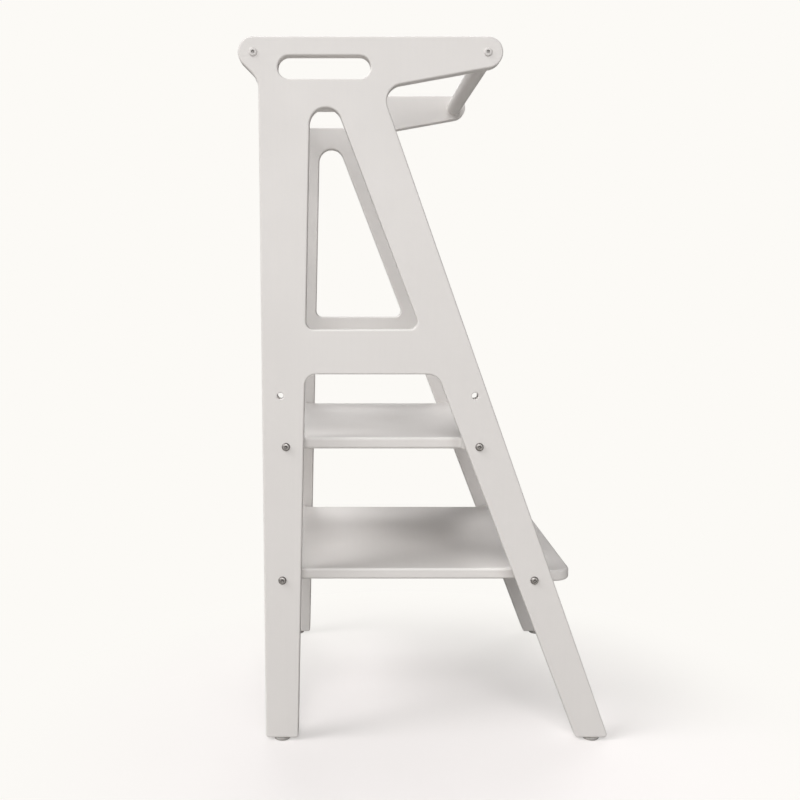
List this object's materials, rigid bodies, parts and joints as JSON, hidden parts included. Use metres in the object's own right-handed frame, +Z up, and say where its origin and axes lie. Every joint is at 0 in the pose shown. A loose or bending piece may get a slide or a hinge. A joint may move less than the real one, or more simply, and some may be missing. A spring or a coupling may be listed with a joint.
{
  "type": "toddler kitchen helper stool",
  "caption": "Painted plywood helper stool for a small child: side panels with handle slots, a standing platform that bolts at either of two heights, a lower step and round top rails.",
  "frame": {"origin": "on the floor, centred in X and Y under the stool's whole box", "axes": "+Z up, +X from the upright back edge towards the step's nose, +Y across the stool to its right side panel"},
  "size_m": [0.4778, 0.4064, 0.9],
  "materials": {
    "painted_plywood": "satin warm light grey paint",
    "painted_boards": "satin warm light grey paint",
    "painted_beech": "satin warm light grey paint",
    "glide_plastic": "glossy grey moulded nylon",
    "nail_steel": "bright wire",
    "bolt_steel": "zinc plated",
    "nut_steel": "zinc plated",
    "insert_brass": "plain turned",
    "painted_bolt_heads": "satin warm light grey paint"
  },
  "bodies": {
    "root": {"left_side_panel": "painted_plywood", "right_side_panel": "painted_plywood", "standing_platform": "painted_boards", "lower_step": "painted_boards", "front_top_rail": "painted_beech", "rear_top_rail": "painted_beech", "glide_front_left": "glide_plastic", "glide_nail_front_left": "nail_steel", "platform_bolt_front_left": "bolt_steel", "platform_barrel_nut_front_left": "nut_steel", "step_bolt_front_left": "bolt_steel", "step_barrel_nut_front_left": "nut_steel", "rail_bolt_front_left": "painted_bolt_heads", "rail_insert_front_left": "insert_brass", "glide_rear_left": "glide_plastic", "glide_nail_rear_left": "nail_steel", "platform_bolt_rear_left": "bolt_steel", "platform_barrel_nut_rear_left": "nut_steel", "step_bolt_rear_left": "bolt_steel", "step_barrel_nut_rear_left": "nut_steel", "rail_bolt_rear_left": "painted_bolt_heads", "rail_insert_rear_left": "insert_brass", "glide_front_right": "glide_plastic", "glide_nail_front_right": "nail_steel", "platform_bolt_front_right": "bolt_steel", "platform_barrel_nut_front_right": "nut_steel", "step_bolt_front_right": "bolt_steel", "step_barrel_nut_front_right": "nut_steel", "rail_bolt_front_right": "painted_bolt_heads", "rail_insert_front_right": "insert_brass", "glide_rear_right": "glide_plastic", "glide_nail_rear_right": "nail_steel", "platform_bolt_rear_right": "bolt_steel", "platform_barrel_nut_rear_right": "nut_steel", "step_bolt_rear_right": "bolt_steel", "step_barrel_nut_rear_right": "nut_steel", "rail_bolt_rear_right": "painted_bolt_heads", "rail_insert_rear_right": "insert_brass"}
  },
  "joints": []
}
